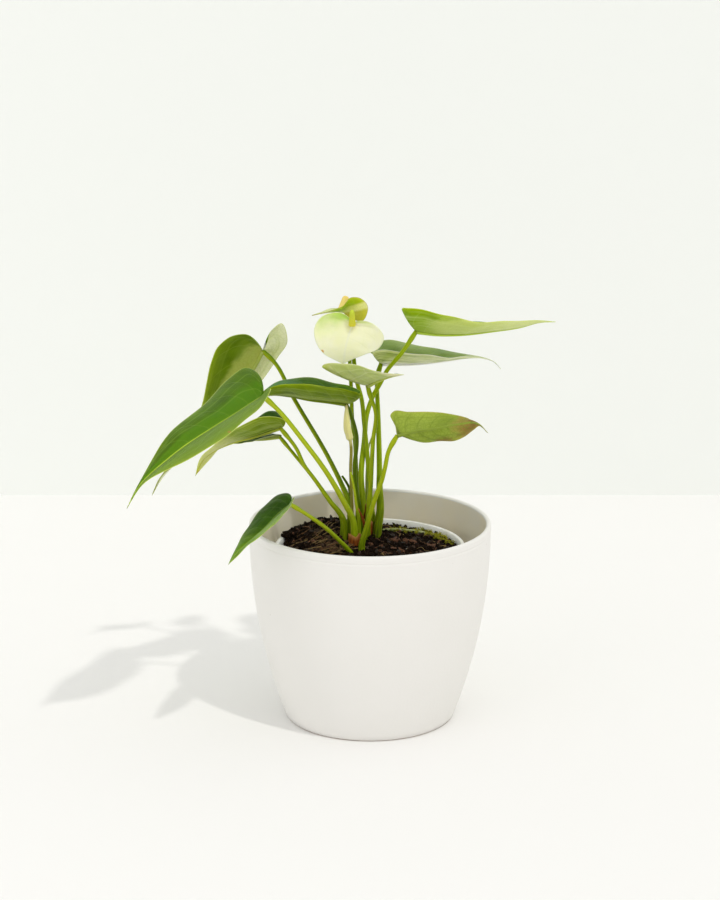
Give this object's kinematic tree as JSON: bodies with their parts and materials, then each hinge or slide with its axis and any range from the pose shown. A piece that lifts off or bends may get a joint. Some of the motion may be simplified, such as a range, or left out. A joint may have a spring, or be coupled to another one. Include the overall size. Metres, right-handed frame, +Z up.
{
  "type": "potted flamingo flower",
  "caption": "Potted flamingo flower: heart-shaped leaves on long stems, a cream and a green bloom, in a white nursery pot of soil inside a round tapered white outer pot.",
  "frame": {"origin": "centre of the outer pot's foot, on the surface it stands on", "axes": "+Z up; the plant's front, which the picture was taken from, is -Y, and its right side is +X"},
  "size_m": [0.2563, 0.1666, 0.263],
  "materials": {
    "outer_pot": "satin",
    "nursery_pot": "satin",
    "soil": "matte",
    "leaf_dark": "satin",
    "leaf_olive": "satin",
    "leaf_pale": "satin",
    "leaf_bright": "satin",
    "stalk": "satin",
    "spathe_cream": "waxy",
    "spathe_green": "waxy",
    "spadix_green": "matte",
    "spadix_yellow": "matte",
    "young_leaf": "satin",
    "scale": "matte"
  },
  "bodies": {
    "root": {"outer_pot": "outer_pot", "nursery_pot": "nursery_pot", "soil": "soil", "leaf_front_left": "leaf_dark", "leaf_back_left": "leaf_olive", "leaf_mid_left": "leaf_olive", "leaf_low_left": "leaf_dark", "leaf_centre_left": "leaf_dark", "leaf_centre_front": "leaf_pale", "leaf_top_right": "leaf_bright", "leaf_back_right": "leaf_dark", "leaf_low_right": "leaf_olive", "leaf_over_rim": "leaf_dark", "bloom_front_stalk": "stalk", "bloom_back_stalk": "stalk", "bloom_front_spathe": "spathe_cream", "bloom_back_spathe": "spathe_green", "bloom_front_spadix": "spadix_green", "bloom_back_spadix": "spadix_yellow", "young_leaf": "young_leaf", "spear_light": "stalk", "spear_dark": "leaf_dark", "spear_pale": "leaf_pale", "scale_front": "scale", "scale_back": "scale"}
  },
  "joints": []
}
